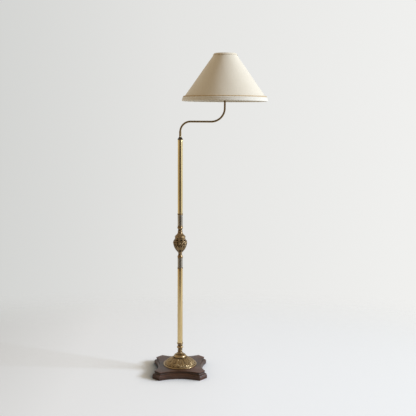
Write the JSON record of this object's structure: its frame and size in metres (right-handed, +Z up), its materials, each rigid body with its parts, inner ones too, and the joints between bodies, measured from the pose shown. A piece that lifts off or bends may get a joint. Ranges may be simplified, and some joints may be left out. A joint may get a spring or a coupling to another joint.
{
  "type": "pharmacy floor lamp",
  "caption": "Telescoping brass floor lamp: square wooden base, urn knop on the column, S-bent swinging arm and a cream coolie shade.",
  "frame": {"origin": "on the floor under the column's axis, at the centre of the felt under the base", "axes": "+Z up the column, +X from the column towards the shade at rest, -Y towards the front of the lamp"},
  "size_m": [0.5292, 0.3938, 1.5],
  "materials": {
    "brass": "aged polished brass",
    "cast_brass": "antique cast brass, darkened in the recesses",
    "silvered": "worn silvered brass",
    "dark_bronze": "dark bronzed brass",
    "mahogany": "dark mahogany, waxed",
    "felt": "green baize",
    "iron": "rough casting",
    "steel": "plain steel",
    "nickel": "nickelled steel",
    "phenolic": "dark brown phenolic",
    "flex": "braided sleeving over the wires",
    "fabric": "cream linen",
    "liner": "white lining card",
    "braid": "antique gold braid",
    "glass": "opal glass"
  },
  "bodies": {
    "column": {"wood_base": "mahogany", "base_felt": "felt", "ballast_weight": "iron", "base_washer": "steel", "base_nut": "steel", "cord_bushing": "phenolic", "column_flex": "flex", "foot_flange": "cast_brass", "foot_dome": "cast_brass", "foot_column": "cast_brass", "foot_cup": "cast_brass", "tie_rod": "steel", "lower_tube": "brass", "lower_ring": "cast_brass", "lower_sleeve": "silvered", "urn_foot": "cast_brass", "urn_body": "cast_brass", "urn_lid": "cast_brass", "urn_neck": "cast_brass", "upper_sleeve": "silvered", "upper_ring": "cast_brass", "upper_tube": "brass", "upper_tube_plug": "brass", "top_bush": "brass", "clamp_collet": "brass"},
    "collar": {"lock_collar": "dark_bronze"},
    "stem": {"stem_tube": "brass", "stem_guide": "phenolic", "swivel_washer": "phenolic", "swivel_spindle": "steel"},
    "arm": {"swivel_sleeve": "brass", "arm_tube": "brass", "arm_flex": "flex", "holder_locknut": "brass", "holder_cap": "brass", "switch_barrel": "phenolic", "holder_shell": "brass", "holder_insulator": "phenolic", "centre_contact": "brass", "screw_shell": "brass", "bulb_cap": "nickel", "bulb_glass": "glass", "shade_ring_lower": "phenolic", "shade_ring_upper": "phenolic", "shade_gimbal": "nickel", "shade_fabric": "fabric", "shade_liner": "liner", "shade_band": "fabric", "shade_piping": "braid", "shade_top_trim": "fabric", "shade_bottom_ring": "nickel"},
    "switch": {"switch_shaft": "brass", "switch_knob": "phenolic"}
  },
  "joints": [
    {"name": "height_slide", "type": "slide", "parent": "column", "child": "stem", "axis": [0, 0, 1], "range_m": [0, 0.28]},
    {"name": "arm_swing", "type": "hinge", "parent": "stem", "child": "arm", "pos_m": [0, 0, 1.13], "axis": [0, 0, 1], "range_deg": [-170, 170]},
    {"name": "lock_collar_turn", "type": "hinge", "parent": "column", "child": "collar", "pos_m": [0, 0, 1.115], "axis": [0, 0, 1], "range_deg": [0, 180]},
    {"name": "switch_turn", "type": "hinge", "parent": "arm", "child": "switch", "pos_m": [0.2043, -0.03, 1.3175], "axis": [0, -1, 0], "continuous": true}
  ]
}
